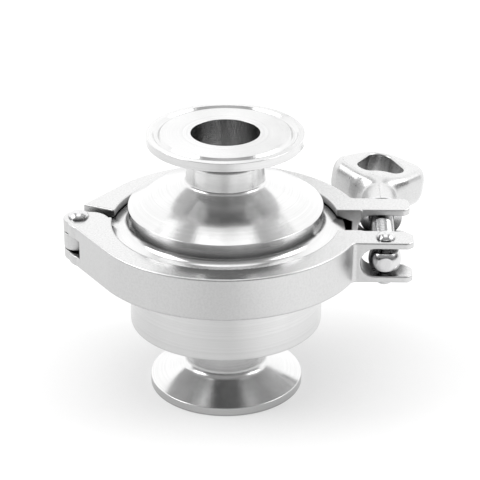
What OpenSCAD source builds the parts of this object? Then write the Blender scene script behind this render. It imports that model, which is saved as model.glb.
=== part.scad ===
// Sanitary spring check valve with clamp ports, held by a hinged V-clamp
// Axis of the valve on Z, origin at the centre of the outlet port face

/* [Ports] */
// Outside diameter of the tube neck
tube_od = 25.4; // [24.4:0.1:27]
// Bore through both ports
bore_d = 22.1; // [20:0.1:23]
// Outside diameter of a port ferrule
port_od = 50.5; // [48:0.1:52]
// Thickness of a port ferrule at its edge
port_rim = 2.85; // [2:0.05:3.5]
// Slope of the back of every clamp flange, in degrees
cone_angle = 20; // [17:0.5:23]
// Radius between a port's cone and its neck
port_fillet = 3; // [1.5:0.1:4]
// Middle diameter of the gasket groove in a port face
port_groove_d = 44; // [42:0.1:45]
// Width of the gasket groove in a port face
port_groove_w = 2.6; // [2:0.1:3]
// Depth of the gasket groove in a port face
port_groove_depth = 0.9; // [0.5:0.1:1.2]
// Length of the inlet ferrule, from its face to its weld
inlet_ferrule_len = 15.1; // [13:0.1:18]
// Length of the outlet ferrule, from its face to the cup
outlet_ferrule_len = 24.1; // [20:0.1:30]

/* [Body] */
// Outside diameter of both body halves
body_od = 63; // [62:0.1:64]
// Wall of the cylindrical part of the body
body_wall = 1.65; // [1.5:0.05:2.5]
// Outside diameter of the two body flanges
flange_od = 77.5; // [77:0.1:79]
// Thickness of a body flange at its edge
flange_rim = 2.85; // [2:0.05:3.5]
// Radius between a body flange's cone and the body wall
flange_fillet = 2.4; // [1:0.1:3]
// Height of the outlet cup, from its flat base to its flange face
cup_len = 27.4; // [26:0.1:32]
// Thickness of the cup's floor
cup_floor = 2.4; // [1.5:0.1:4]
// Height of the inlet half's straight wall above its flange face
shoulder_len = 11.5; // [9:0.1:14]
// Slope of the bell under the inlet neck, in degrees
bell_slope = 31; // [27:0.5:34]
// Slope of the bell where it runs out at the shoulder, in degrees
bell_rim_slope = 11; // [6:0.5:18]
// Radial width of the curved run-out of the bell
bell_sweep = 12; // [8:0.1:13]
// Radius between the bell and the neck
bell_fillet = 1.6; // [0.8:0.1:2.5]
// Thickness of the bell's wall
bell_wall = 2.2; // [1.8:0.1:2.6]
// Thickness of the body gasket between the flanges
gasket_t = 1.6; // [1:0.1:2.5]
// Radius of the gasket's bead
gasket_bead_r = 1.3; // [1:0.05:1.6]

/* [Check mechanism] */
// Travel of the plug from its seat to fully open
plug_travel = 8; // [4:0.5:8]
// Diameter of the plug's disc
disc_d = 35; // [34:0.1:38]
// Thickness of the plug's disc
disc_t = 3.2; // [3:0.1:5]
// Height of the spring's centring boss under the disc
boss_len = 3; // [2:0.1:4]
// Middle diameter of the plug's seal ring
seal_d = 29.2; // [28.6:0.1:30]
// Thickness of the seal ring's cord
seal_cord = 3; // [2.6:0.1:3.4]
// Space between the closed seal ring and its seat
seal_gap = 0.1; // [0.05:0.05:0.3]
// Diameter of the plug's stem
stem_d = 8; // [6.6:0.1:9]
// Length of the stem's tip below its retaining clip
stem_tip = 0.9; // [0.5:0.1:3]
// Diameter of the stud at the stem's top
stud_d = 6; // [4:0.1:6.4]
// Radial running clearance of the stem in its bush
stem_clearance = 0.06; // [0.02:0.01:0.1]
// Wire of the plug's spring
wire_d = 1.5; // [1:0.1:1.6]
// Middle diameter of the plug's spring
spring_d = 15.4; // [15:0.1:16]
// Turns of the plug's spring
spring_turns = 7; // [5:0.5:7]
// Height of the guide's hub
hub_len = 10; // [8:0.5:11]
// Outside diameter of the guide's hub
hub_d = 17; // [16:0.1:19]
// Spring length left above solid when the plug is fully open
spring_reserve = 0.7; // [0.3:0.1:2]
// Number of the guide's arms
arm_count = 3; // [3:1:5]
// Thickness of a guide arm
arm_t = 4; // [2.5:0.1:5]
// Outside diameter of the guide bush
bush_d = 12; // [11:0.1:13]
// Diameter of the bush's flange
bush_flange_d = 20; // [18.5:0.1:22]
// Thickness of the bush's flange
bush_flange_t = 1.6; // [1:0.1:2.5]
// Width of a guide arm's foot
foot_w = 5; // [3:0.1:7]
// Outside diameter of the stem's retaining clip
clip_d = 13; // [12:0.1:14]
// Thickness of the stem's retaining clip
clip_t = 1; // [0.8:0.1:1.5]

/* [Clamp] */
// Thickness of the clamp outside its groove
clamp_wall = 2.75; // [2.3:0.05:3.5]
// Height of the clamp
clamp_h = 14; // [13:0.1:15]
// Reach of the clamp's lips over the edges of the flanges
lip_reach = 1.85; // [1.2:0.05:2.4]
// Space between a clamp groove and the flanges' cones
seat_gap = 0.15; // [0.1:0.05:0.3]
// Space between the groove's wall and the flanges' edges
groove_gap = 2.9; // [2.2:0.1:3.4]
// Distance of the hinge pin outside the clamp's wall
hinge_reach = 3.3; // [2.8:0.1:4.6]
// Radius of the hinge's round end
lug_r = 5; // [4.5:0.1:5.4]
// Radius of the rounded inner corner of the front lug
lug_corner_r = 6.8; // [6:0.1:7.4]
// Place of that corner's centre from the hinge pin, toward the valve's axis
lug_corner_x = 3.5; // [3:0.1:4]
// Place of that corner's centre from the hinge pin, toward the front
lug_corner_y = 2.7; // [2.3:0.1:3.1]
// Place of the rear half's end from the hinge pin, toward the valve's axis
rear_end_x = 2.4; // [1.5:0.1:3]
// Place of the rear half's end from the hinge pin, toward the rear
rear_end_y = 8.9; // [8.6:0.1:10]
// Slope of the rear half's end, in degrees
rear_end_angle = 22.7; // [18:0.1:26]
// Depth of the tongue's slot, from the hinge pin into the lug
tongue_depth = 9; // [7.8:0.1:9.8]
// Height of the tongue's slot in the front lug
tongue_slot = 6.2; // [5:0.1:7.4]
// Distance of that slot's middle below the middle of the clamp
tongue_drop = 0.5; // [0:0.1:1]
// Space above and below the tongue
tongue_play = 0.15; // [0.1:0.05:0.4]
// Diameter of the hinge pin
hinge_pin_d = 4; // [3:0.1:4.6]
// Diameter of the hinge pin's heads
hinge_head_d = 6.4; // [5.4:0.1:7]
// Height of a rivet's head
head_h = 2; // [1.2:0.1:2.4]
// Radial running clearance on both rivets
pin_clearance = 0.05; // [0.02:0.01:0.1]
// Reach of the ears past the swing bolt
ear_reach = 8.9; // [8:0.1:12]
// Thickness of an ear
ear_t = 9.3; // [8:0.1:10]
// Space between the two ears
ear_gap = 15.9; // [15:0.1:18]
// Cut corner at the ends of the ears
ear_chamfer = 1.6; // [1:0.1:2.5]
// Radius between an ear and the clamp's outer wall
ear_fillet = 2.5; // [1:0.1:4]
// Height of the open slot in an ear
slot_h = 9.4; // [8.8:0.1:10]
// Distance from the bolt back to the centre of the slot's round end
slot_back = 3.2; // [2.4:0.1:3.8]

/* [Swing bolt and nut] */
// Distance of the swing bolt outside the clamp's wall
bolt_reach = 6.7; // [6:0.1:7.4]
// Distance of the bolt's pivot in front of the middle of its ear
pivot_shift = 0.6; // [0:0.1:0.8]
// Diameter of the bolt over its thread
bolt_d = 8; // [7:0.1:8.4]
// Length of the bolt from its pivot to its end
bolt_len = 60; // [56:0.1:62]
// Diameter of the bolt's ball
ball_d = 10.6; // [10:0.1:11.4]
// Space above and below the ball in its slot
ball_play = 1.5; // [0.5:0.1:1.8]
// Diameter of the bolt's pivot pin
pivot_d = 3.4; // [3:0.1:4]
// Diameter of the pivot pin's heads
pivot_head_d = 5.8; // [5:0.1:6.4]
// Diameter of the washer under the nut
washer_d = 14.2; // [13.4:0.1:14.2]
// Thickness of the washer under the nut
washer_t = 1.6; // [1:0.1:2]
// Diameter of the nut's boss at the washer
nut_base_d = 12.4; // [11.4:0.1:13]
// Diameter of the nut's boss at the wing
nut_neck_d = 11; // [10.6:0.1:12]
// Distance from the nut's base to its window
nut_window_y = 21.6; // [20:0.1:24]
// Thickness of the nut's wing
wing_t = 13; // [11:0.1:14]
// Half the span of the nut's wing
wing_reach = 16; // [14.6:0.1:17.4]
// Radius of the wing's side lobes
lobe_r = 7; // [6:0.1:7.8]
// Length of the nut from its base to the crown of its wing
nut_len = 41.1; // [39.4:0.1:43]
// Radius of the wing's crown
crown_r = 13.5; // [12:0.1:15]
// Height of the flat band round the middle of the wing
band_h = 6.4; // [4:0.1:9]
// Set-back of the wing's faces from the band
wing_bevel = 1.3; // [0.5:0.1:2]
// Radius of the flare between the boss and a lobe
flare_r = 6; // [4:0.1:7]
// Length of the window in the wing
window_len = 15.6; // [13:0.1:16.4]
// Width of the window in the wing
window_w = 15.8; // [13:0.1:16.4]
// Radius of the window's corners
window_corner_r = 4.6; // [2:0.1:5.2]
// Turn of the tightened nut about the bolt, in degrees
nut_turn = 7; // [0:1:30]

/* [Hidden] */
$fn = 96;

steel = [0.80, 0.81, 0.82];
satin_steel = [0.70, 0.70, 0.71];
seal_black = [0.12, 0.12, 0.13];
bush_white = [0.93, 0.93, 0.91];

// Clearances and steps too small to matter for the valve's use
fit = 0.02;
foot_play = 0.3;
clip_play = 0.3;
boss_play = 0.4;
washer_play = 0.1;
gasket_inset = 0.4;
arc_steps = 6;
far = 200;

tube_r = tube_od / 2;
bore_r = bore_d / 2;
port_r = port_od / 2;
body_r = body_od / 2;
inner_r = body_r - body_wall;
flange_r = flange_od / 2;
bead_r = (inner_r + flange_r) / 2;

// Heights along the valve's axis
outlet_face_z = outlet_ferrule_len + cup_len;
joint_z = outlet_face_z + gasket_t / 2;
inlet_face_z = outlet_face_z + gasket_t;
floor_z = outlet_ferrule_len + cup_floor;
shoulder_z = inlet_face_z + shoulder_len;

// The bell: a straight cone from the neck, then an arc that flattens to the shoulder
bell_arc_r = bell_sweep / (sin(bell_slope) - sin(bell_rim_slope));
bell_break_r = body_r - bell_sweep;
bell_break_z = shoulder_z + bell_arc_r * (cos(bell_rim_slope) - cos(bell_slope));
function bell_z(r) = bell_break_z + (bell_break_r - r) * tan(bell_slope);
function seat_z(r) = bell_z(r) - bell_wall / cos(bell_slope);
neck_fillet_z = bell_z(tube_r + bell_fillet) + bell_fillet / cos(bell_slope);
weld_z = neck_fillet_z;
valve_h = weld_z + inlet_ferrule_len;

// The plug hangs from its seal ring, which lies seal_gap off the seat's cone
seal_r = seal_d / 2;
cord_r = seal_cord / 2;
seal_z = seat_z(seal_r) - (cord_r + seal_gap) / cos(bell_slope);
disc_r = disc_d / 2;
seal_sink = 0.3;
disc_top_z = seal_z - seal_sink * cord_r;
disc_z = disc_top_z - disc_t;
boss_z = disc_z - boss_len;
stem_r = stem_d / 2;
cap_drop = 0.3;
cap_cover = 1.2;
cap_top_z = seat_z(bore_r) - cap_drop;
stud_top_z = cap_top_z - cap_cover;
boss_r = (spring_d - wire_d) / 2 - boss_play;

// The bush's flange carries the spring so high that the open plug all but closes its turns
spring_len = plug_travel + wire_d * (spring_turns + 1) + spring_reserve;
spring_z = disc_z - spring_len;
hub_top_z = spring_z - bush_flange_t;
hub_z = hub_top_z - hub_len;
clip_z = hub_z - clip_play - clip_t;
stem_end_z = clip_z - stem_tip;
clip_groove = 0.8;
clip_groove_r = stem_r - clip_groove;

// The clamp, centred on the joint
lip_r = flange_r - lip_reach;
groove_r = flange_r + groove_gap;
clamp_r = groove_r + clamp_wall;
hinge_x = clamp_r + hinge_reach;
bolt_x = clamp_r + bolt_reach;
ear_x = bolt_x + ear_reach;
groove_half = gasket_t / 2 + flange_rim + seat_gap / cos(cone_angle);
tangent_angle = acos((clamp_r - lug_r) / hinge_x);
lug_tangent = [cos(tangent_angle), sin(tangent_angle)];
ear_in = ear_gap / 2;
ear_out = ear_in + ear_t;
slot_r = slot_h / 2;
slot_x = bolt_x - slot_back;
pivot_y = -(ear_in + ear_out) / 2 - pivot_shift;
ball_h = slot_h - 2 * ball_play;
bolt_end_y = pivot_y + bolt_len;
nut_y = ear_out + washer_t;

function arc(c, r, a0, a1) = [
    for (i = [0 : arc_steps])
        let (a = a0 + (a1 - a0) * i / arc_steps)
            [c[0] + r * cos(a), c[1] + r * sin(a)]
];

// Back of a clamp flange: its edge, its cone and the fillet into a wall at wall_r
function flange_back(edge_r, edge_t, wall_r, fillet) =
    let (
        c_r = wall_r + fillet,
        c_z = edge_t + (edge_r - c_r) * tan(cone_angle) + fillet / cos(cone_angle)
    )
    concat(
        [[edge_r, 0], [edge_r, edge_t]],
        arc([c_r, c_z], fillet, 270 - cone_angle, 180)
    );

// Half-section of the V-groove that holds both flanges
function groove_section() =
    let (
        flat = groove_half - groove_gap * tan(cone_angle),
        inside_r = lip_r - lip_reach,
        open = groove_half + (flange_r - inside_r) * tan(cone_angle)
    )
    [[inside_r, -open], [groove_r, -flat], [groove_r, flat], [inside_r, open]];

// Closed annular bead, used for grooves, the gasket's bead and the seal ring
module ring(middle_r, section_r, z) {
    translate([0, 0, z])
        rotate_extrude()
            translate([middle_r, 0])
                circle(r = section_r);
}

module port_ferrule(len) {
    groove_r0 = (port_groove_w * port_groove_w / 4 + port_groove_depth * port_groove_depth)
        / (2 * port_groove_depth);
    difference() {
        rotate_extrude()
            polygon(concat(
                [[bore_r, 0]],
                flange_back(port_r, port_rim, tube_r, port_fillet),
                [[tube_r, len], [bore_r, len]]
            ));
        ring(port_groove_d / 2, groove_r0, port_groove_depth - groove_r0);
    }
}

module outlet_ferrule() {
    color(steel)
        port_ferrule(outlet_ferrule_len);
}

module inlet_ferrule() {
    color(steel)
        translate([0, 0, valve_h])
            mirror([0, 0, 1])
                port_ferrule(inlet_ferrule_len);
}

// Inlet half: flange, straight wall, sharp shoulder and the flared bell with its inner seat
module inlet_body() {
    color(steel)
        difference() {
            rotate_extrude()
                polygon(concat(
                    [for (p = concat([[inner_r, 0]],
                        flange_back(flange_r, flange_rim, body_r, flange_fillet)))
                        [p[0], p[1] + inlet_face_z]],
                    arc([body_r - bell_arc_r * -sin(bell_rim_slope),
                         shoulder_z + bell_arc_r * cos(bell_rim_slope)],
                        bell_arc_r, 270 - bell_rim_slope, 270 - bell_slope),
                    arc([tube_r + bell_fillet, neck_fillet_z], bell_fillet,
                        270 - bell_slope, 180),
                    [[bore_r, weld_z], [bore_r, seat_z(bore_r)], [inner_r, seat_z(inner_r)]]
                ));
            ring(bead_r, gasket_bead_r + fit, joint_z);
        }
}

// Outlet half: a plain cup with the same flange
module outlet_body() {
    color(steel)
        difference() {
            rotate_extrude()
                polygon([for (p = concat(
                    [[inner_r, 0]],
                    flange_back(flange_r, flange_rim, body_r, flange_fillet),
                    [[body_r, cup_len], [bore_r, cup_len],
                     [bore_r, cup_len - cup_floor], [inner_r, cup_len - cup_floor]]))
                    [p[0], outlet_face_z - p[1]]]);
            ring(bead_r, gasket_bead_r + fit, joint_z);
        }
}

module body_gasket() {
    color(seal_black)
        union() {
            translate([0, 0, outlet_face_z])
                difference() {
                    cylinder(r = flange_r - gasket_inset, h = gasket_t);
                    translate([0, 0, -1])
                        cylinder(r = inner_r, h = gasket_t + 2);
                }
            ring(bead_r, gasket_bead_r, joint_z);
        }
}

module seal_ring() {
    color(seal_black)
        ring(seal_r, cord_r, seal_z);
}

// Rounded cap that holds the seal ring down on the disc
module nose_cap() {
    seal_lap = 0.62;
    seal_rise = 0.7;
    cap_r = seal_r - seal_lap * cord_r;
    nose_r = 2;
    nose_inset = 3;
    color(steel)
        difference() {
            rotate_extrude()
                polygon(concat(
                    [[0, disc_top_z], [cap_r, disc_top_z],
                     [cap_r, seal_z + seal_rise * cord_r]],
                    arc([bore_r - nose_inset, cap_top_z - nose_r], nose_r, 40, 90),
                    [[0, cap_top_z]]
                ));
            ring(seal_r, cord_r + fit, seal_z);
            translate([0, 0, disc_top_z - 1])
                cylinder(d = stud_d + 2 * fit, h = stud_top_z - disc_top_z + 1 + fit);
        }
}

module plug_disc() {
    rim_cut = 0.8;
    color(steel)
        difference() {
            rotate_extrude()
                polygon([
                    [0, boss_z], [boss_r, boss_z], [boss_r, disc_z],
                    [disc_r - rim_cut, disc_z], [disc_r, disc_z + rim_cut],
                    [disc_r, disc_top_z - rim_cut], [disc_r - rim_cut, disc_top_z],
                    [0, disc_top_z]
                ]);
            ring(seal_r, cord_r + fit, seal_z);
            translate([0, 0, boss_z - 1])
                cylinder(d = stud_d + 2 * fit, h = disc_t + boss_len + 2);
        }
}

module plug_stem() {
    tip = 0.8;
    color(steel)
        difference() {
            union() {
                translate([0, 0, stem_end_z])
                    cylinder(r1 = stem_r - tip, r2 = stem_r, h = tip);
                translate([0, 0, stem_end_z + tip])
                    cylinder(r = stem_r, h = boss_z - stem_end_z - tip);
                translate([0, 0, boss_z])
                    cylinder(d = stud_d, h = stud_top_z - boss_z);
            }
            translate([0, 0, clip_z])
                difference() {
                    cylinder(r = stem_r + 1, h = clip_t);
                    translate([0, 0, -1])
                        cylinder(r = clip_groove_r, h = clip_t + 2);
                }
        }
}

// Retaining clip: an open ring that snaps into the stem's groove
module stem_clip() {
    clip_mouth = 1.4 * clip_groove_r;
    color(satin_steel)
        translate([0, 0, clip_z + fit])
            difference() {
                cylinder(d = clip_d, h = clip_t - 2 * fit);
                translate([0, 0, -1])
                    cylinder(r = clip_groove_r + fit, h = clip_t + 2);
                translate([0, -clip_mouth / 2, -1])
                    cube([clip_d, clip_mouth, clip_t + 2]);
            }
}

// Wire spring swept along its helix, with closed end turns
coil_steps = 20;
coil_sides = 8;
coil_count = floor(spring_turns * coil_steps);
closed_turns = 1;
function coil_rise(t) =
    let (
        free = spring_len - wire_d * (1 + 2 * closed_turns),
        open_turns = spring_turns - 2 * closed_turns
    )
    wire_d * min(t, closed_turns)
    + wire_d * max(0, t - spring_turns + closed_turns)
    + free * min(max((t - closed_turns) / open_turns, 0), 1);
function coil_point(i, k) =
    let (
        t = i / coil_steps,
        around = 360 * t,
        side = 360 * k / coil_sides,
        r = spring_d / 2 + wire_d / 2 * cos(side)
    )
    [r * cos(around), r * sin(around),
     spring_z + wire_d / 2 + coil_rise(t) + wire_d / 2 * sin(side)];
module plug_spring() {
    last = coil_count * coil_sides;
    color(satin_steel)
        polyhedron(
            points = [for (i = [0 : coil_count], k = [0 : coil_sides - 1]) coil_point(i, k)],
            faces = concat(
                [[for (k = [0 : coil_sides - 1]) k]],
                [for (i = [0 : coil_count - 1], k = [0 : coil_sides - 1])
                    let (a = i * coil_sides + k,
                         b = i * coil_sides + (k + 1) % coil_sides)
                        [a, a + coil_sides, b + coil_sides, b]],
                [[for (k = [coil_sides - 1 : -1 : 0]) last + k]]
            )
        );
}

module guide_bush() {
    color(bush_white)
        difference() {
            union() {
                translate([0, 0, hub_z])
                    cylinder(d = bush_d, h = hub_len);
                translate([0, 0, hub_top_z])
                    cylinder(d = bush_flange_d, h = bush_flange_t);
            }
            translate([0, 0, hub_z - 1])
                cylinder(r = stem_r + stem_clearance, h = hub_len + bush_flange_t + 2);
        }
}

// Spider guide: a hub on arms that stand on the cup's floor against its wall
module stem_guide() {
    foot_r = inner_r - foot_play;
    foot_top_z = hub_z + 0.45 * hub_len;
    arm_r = (bush_d + hub_d) / 4;
    arm_step = 1.5;
    knee = 3;
    toe = 1;
    color(steel)
        difference() {
            union() {
                translate([0, 0, hub_z])
                    cylinder(d = hub_d, h = hub_len);
                for (i = [0 : arm_count - 1])
                    rotate([90, 0, 360 * i / arm_count])
                        translate([0, 0, -arm_t / 2])
                            linear_extrude(arm_t)
                                polygon([
                                    [arm_r, hub_z + toe], [hub_d / 2, hub_z + toe],
                                    [foot_r - foot_w - knee, hub_z - arm_step],
                                    [foot_r - foot_w, floor_z], [foot_r - toe, floor_z],
                                    [foot_r, floor_z + toe], [foot_r, foot_top_z],
                                    [foot_r - foot_w, foot_top_z],
                                    [hub_d / 2, hub_top_z - arm_step],
                                    [arm_r, hub_top_z - arm_step]
                                ]);
            }
            translate([0, 0, hub_z - 1])
                cylinder(d = bush_d + 2 * fit, h = hub_len + 2);
        }
}

// Outline of a clamp half from above; side is -1 for the front half and 1 for the rear
module half_outline(side) {
    blend_c = [sqrt(pow(clamp_r + ear_fillet, 2) - pow(ear_out + ear_fillet, 2)),
               ear_out + ear_fillet];
    blend_t = blend_c * clamp_r / (clamp_r + ear_fillet);
    mirror([0, side < 0 ? 1 : 0]) {
        intersection() {
            circle(r = clamp_r);
            translate([-lip_r, ear_in])
                square([lip_r + clamp_r, clamp_r]);
        }
        polygon([
            [-lug_tangent[0] * clamp_r, lug_tangent[1] * clamp_r],
            [-hinge_x - lug_tangent[0] * lug_r, lug_tangent[1] * lug_r],
            [-hinge_x, 0], [-lip_r, 0],
            [-lug_tangent[0] * lip_r, lug_tangent[1] * lip_r]
        ]);
        polygon([
            [lip_r, ear_in], [ear_x - ear_chamfer, ear_in], [ear_x, ear_in + ear_chamfer],
            [ear_x, ear_out - ear_chamfer], [ear_x - ear_chamfer, ear_out],
            [lip_r, ear_out]
        ]);
        difference() {
            polygon([[lip_r, ear_in], [blend_c[0], ear_out], blend_t]);
            translate(blend_c)
                circle(r = ear_fillet);
        }
    }
}

// Open slot through an ear, closed by a half round on the ring's side
module ear_slot(side) {
    translate([slot_x, side * (ear_in + ear_out) / 2, joint_z])
        rotate([90, 0, 0])
            cylinder(r = slot_r, h = ear_t + 2, center = true);
    translate([slot_x, side > 0 ? ear_in - 1 : -ear_out - 1, joint_z - slot_r])
        cube([far, ear_t + 2, slot_h]);
}

module clamp_bore() {
    translate([0, 0, joint_z - far / 2])
        cylinder(r = lip_r, h = far);
    translate([0, 0, joint_z])
        rotate_extrude()
            polygon(groove_section());
}

// Front half: clevis lug at the hinge, slotted ear that carries the bolt's pivot
module clamp_front_half() {
    color(satin_steel)
        difference() {
            translate([0, 0, joint_z - clamp_h / 2])
                linear_extrude(clamp_h) {
                    half_outline(-1);
                    translate([-hinge_x, 0])
                        circle(r = lug_r);
                    translate([-hinge_x + lug_corner_x, -lug_corner_y])
                        circle(r = lug_corner_r);
                }
            clamp_bore();
            translate([-hinge_x, 0, joint_z - tongue_drop - tongue_slot / 2])
                rotate([0, 0, tangent_angle - 90])
                    translate([tongue_depth - far, -far / 2, 0])
                        cube([far, far, tongue_slot]);
            translate([-hinge_x, 0, 0])
                cylinder(d = hinge_pin_d + 2 * fit, h = far);
            ear_slot(-1);
            translate([bolt_x, pivot_y, 0])
                cylinder(d = pivot_d + 2 * fit, h = far);
        }
}

// Rear half: tongue at the hinge, slotted ear that the bolt drops into
module clamp_rear_half() {
    tongue_reach = 2 * rear_end_y;
    color(satin_steel)
        difference() {
            union() {
                translate([0, 0, joint_z - clamp_h / 2])
                    linear_extrude(clamp_h)
                        difference() {
                            half_outline(1);
                            translate([-hinge_x + rear_end_x, rear_end_y])
                                rotate([0, 0, -rear_end_angle])
                                    translate([-far / 2, -far])
                                        square(far);
                        }
                translate([0, 0, joint_z - tongue_drop - tongue_slot / 2 + tongue_play])
                    linear_extrude(tongue_slot - 2 * tongue_play) {
                        intersection() {
                            half_outline(1);
                            translate([-hinge_x - lug_r, 0])
                                square([hinge_x / 2, tongue_reach]);
                        }
                        translate([-hinge_x, 0])
                            circle(r = lug_r);
                    }
            }
            clamp_bore();
            translate([-hinge_x, 0, 0])
                cylinder(r = hinge_pin_d / 2 + pin_clearance, h = far);
            ear_slot(1);
        }
}

// Rivet with a domed head at each end, through a stack of the given height
module rivet(shank_d, head_d, stack) {
    dome_r = (head_d * head_d / 4 + head_h * head_h) / (2 * head_h);
    translate([0, 0, -stack / 2])
        cylinder(d = shank_d, h = stack);
    for (up = [0, 1])
        mirror([0, 0, up])
            translate([0, 0, stack / 2])
                intersection() {
                    translate([0, 0, head_h - dome_r])
                        sphere(r = dome_r);
                    cylinder(d = head_d, h = head_h);
                }
}

module hinge_pin() {
    color(steel)
        translate([-hinge_x, 0, joint_z])
            rivet(hinge_pin_d, hinge_head_d, clamp_h);
}

module pivot_pin() {
    color(steel)
        translate([bolt_x, pivot_y, joint_z])
            rivet(pivot_d, pivot_head_d, clamp_h);
}

// Swing bolt: a ball with flats and a turned front face, and a plain thread cylinder
module swing_bolt() {
    end_cut = 1;
    face_back = 0.4;
    color(steel)
        translate([bolt_x, pivot_y, joint_z])
            difference() {
                union() {
                    intersection() {
                        sphere(d = ball_d);
                        translate([-ball_d, face_back - ball_d / 2, -ball_h / 2])
                            cube([2 * ball_d, 2 * ball_d, ball_h]);
                    }
                    rotate([-90, 0, 0])
                        cylinder(d = bolt_d, h = bolt_len - end_cut);
                    translate([0, bolt_len - end_cut, 0])
                        rotate([-90, 0, 0])
                            cylinder(d1 = bolt_d, d2 = bolt_d - 2 * end_cut, h = end_cut);
                }
                translate([0, 0, -ball_d])
                    cylinder(r = pivot_d / 2 + pin_clearance, h = 2 * ball_d);
            }
}

module nut_washer() {
    color(steel)
        translate([bolt_x, ear_out, joint_z])
            rotate([-90, 0, 0])
                difference() {
                    cylinder(d = washer_d, h = washer_t);
                    translate([0, 0, -1])
                        cylinder(r = bolt_d / 2 + washer_play, h = washer_t + 2);
                }
}

// Wing seen along its thickness, with its edge set back by the inset: two lobes and a crown
module wing_plan(inset) {
    for (s = [-1, 1])
        translate([s * (wing_reach - lobe_r), nut_window_y + lobe_r])
            circle(r = lobe_r - inset);
    translate([0, nut_len - crown_r])
        circle(r = crown_r - inset);
}

// Wing with a flat band round its middle, bevelled to both faces
module wing_body() {
    hull() {
        translate([0, 0, -band_h / 2])
            linear_extrude(band_h)
                wing_plan(0);
        translate([0, 0, -wing_t / 2])
            linear_extrude(wing_t)
                wing_plan(wing_bevel);
    }
}

// Concave flares that carry the lobes down to the boss
module wing_flare() {
    lobe_y = nut_window_y + lobe_r;
    flare_x = nut_neck_d / 2 + flare_r;
    lobe_x = wing_reach - lobe_r;
    flare_y = lobe_y - sqrt(pow(lobe_r + flare_r, 2) - pow(lobe_x - flare_x, 2));
    difference() {
        translate([-flare_x, flare_y])
            square([2 * flare_x, lobe_y - flare_y]);
        for (s = [-1, 1])
            translate([s * flare_x, flare_y])
                circle(r = flare_r);
    }
}

// Window's outline: a rounded triangle with its point at the crown
module window_outline() {
    hull() {
        for (s = [-1, 1])
            translate([s * (window_w / 2 - window_corner_r), nut_window_y + window_corner_r])
                circle(r = window_corner_r);
        translate([0, nut_window_y + window_len - window_corner_r])
            circle(r = window_corner_r);
    }
}

// Wing nut: a tapered boss that carries the thick, windowed wing
module wing_nut() {
    sill = 1;
    color(satin_steel)
        translate([bolt_x, nut_y, joint_z])
            rotate([0, nut_turn, 0])
                difference() {
                    union() {
                        rotate([-90, 0, 0])
                            cylinder(d1 = nut_base_d, d2 = nut_neck_d, h = nut_window_y - sill);
                        wing_body();
                        translate([0, 0, -band_h / 2])
                            linear_extrude(band_h)
                                wing_flare();
                    }
                    translate([0, 0, -wing_t])
                        linear_extrude(2 * wing_t)
                            window_outline();
                    translate([0, -1, 0])
                        rotate([-90, 0, 0])
                            cylinder(r = bolt_d / 2 + pin_clearance,
                                h = nut_window_y + window_corner_r);
                }
}

inlet_ferrule();
inlet_body();
body_gasket();
outlet_body();
outlet_ferrule();
nose_cap();
seal_ring();
plug_disc();
plug_stem();
stem_clip();
plug_spring();
guide_bush();
stem_guide();
clamp_front_half();
clamp_rear_half();
hinge_pin();
pivot_pin();
swing_bolt();
nut_washer();
wing_nut();
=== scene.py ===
import math
from functools import reduce

import bpy
import numpy as np
from mathutils import Matrix, Vector


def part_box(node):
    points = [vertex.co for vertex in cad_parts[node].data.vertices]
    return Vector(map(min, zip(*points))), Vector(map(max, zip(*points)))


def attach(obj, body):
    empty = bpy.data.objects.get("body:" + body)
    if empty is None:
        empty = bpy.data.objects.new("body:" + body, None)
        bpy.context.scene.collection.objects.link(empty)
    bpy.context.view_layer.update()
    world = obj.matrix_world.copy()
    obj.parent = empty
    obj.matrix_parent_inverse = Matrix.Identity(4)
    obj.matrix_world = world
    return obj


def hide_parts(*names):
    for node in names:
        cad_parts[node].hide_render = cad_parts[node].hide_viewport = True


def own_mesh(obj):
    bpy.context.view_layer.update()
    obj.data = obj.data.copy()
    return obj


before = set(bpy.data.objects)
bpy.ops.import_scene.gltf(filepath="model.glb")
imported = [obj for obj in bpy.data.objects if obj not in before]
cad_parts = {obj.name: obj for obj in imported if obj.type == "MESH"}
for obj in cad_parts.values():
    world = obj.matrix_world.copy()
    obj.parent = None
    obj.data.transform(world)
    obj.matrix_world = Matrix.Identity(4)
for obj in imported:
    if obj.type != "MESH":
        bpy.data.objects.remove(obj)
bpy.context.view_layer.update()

MM = 0.001

# Sizes of the valve's shell, in millimetres, as in the solids
VALVE_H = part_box("inlet_ferrule")[1][2] / MM
OUTLET_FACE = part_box("outlet_body")[1][2] / MM
INLET_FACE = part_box("inlet_body")[0][2] / MM
WELD_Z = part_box("inlet_body")[1][2] / MM
CUP_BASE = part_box("outlet_body")[0][2] / MM
JOINT_Z = (OUTLET_FACE + INLET_FACE) / 2
TUBE_R = 12.7
BORE_R = 11.05
PORT_R = 25.25
PORT_RIM = 2.85
PORT_GROOVE = (20.7, 23.3)
PORT_GROOVE_DEPTH = 0.95
PORT_GROOVE_SLANT = 0.85
BODY_R = 31.5
INNER_R = 29.85
FLANGE_R = 38.75
FLANGE_RIM = 2.85
FLANGE_SLOPE = math.radians(20)
CONE = math.tan(FLANGE_SLOPE)
PORT_FILLET = 3
FLANGE_FILLET = 2.4
CUP_FLOOR = 2.4

# The bell: a flat zone round the neck and a steeper one at the shoulder, over a conical seat
SHOULDER_Z = INLET_FACE + 11.5
BELL_SLOPE = math.radians(20)
BELL_RIM_SLOPE = math.radians(31)
BELL_RIM_W = 7
BELL_BEND_R = 20
SEAT_SLOPE = math.radians(31)
SEAT_DROP = 2.48

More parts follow.
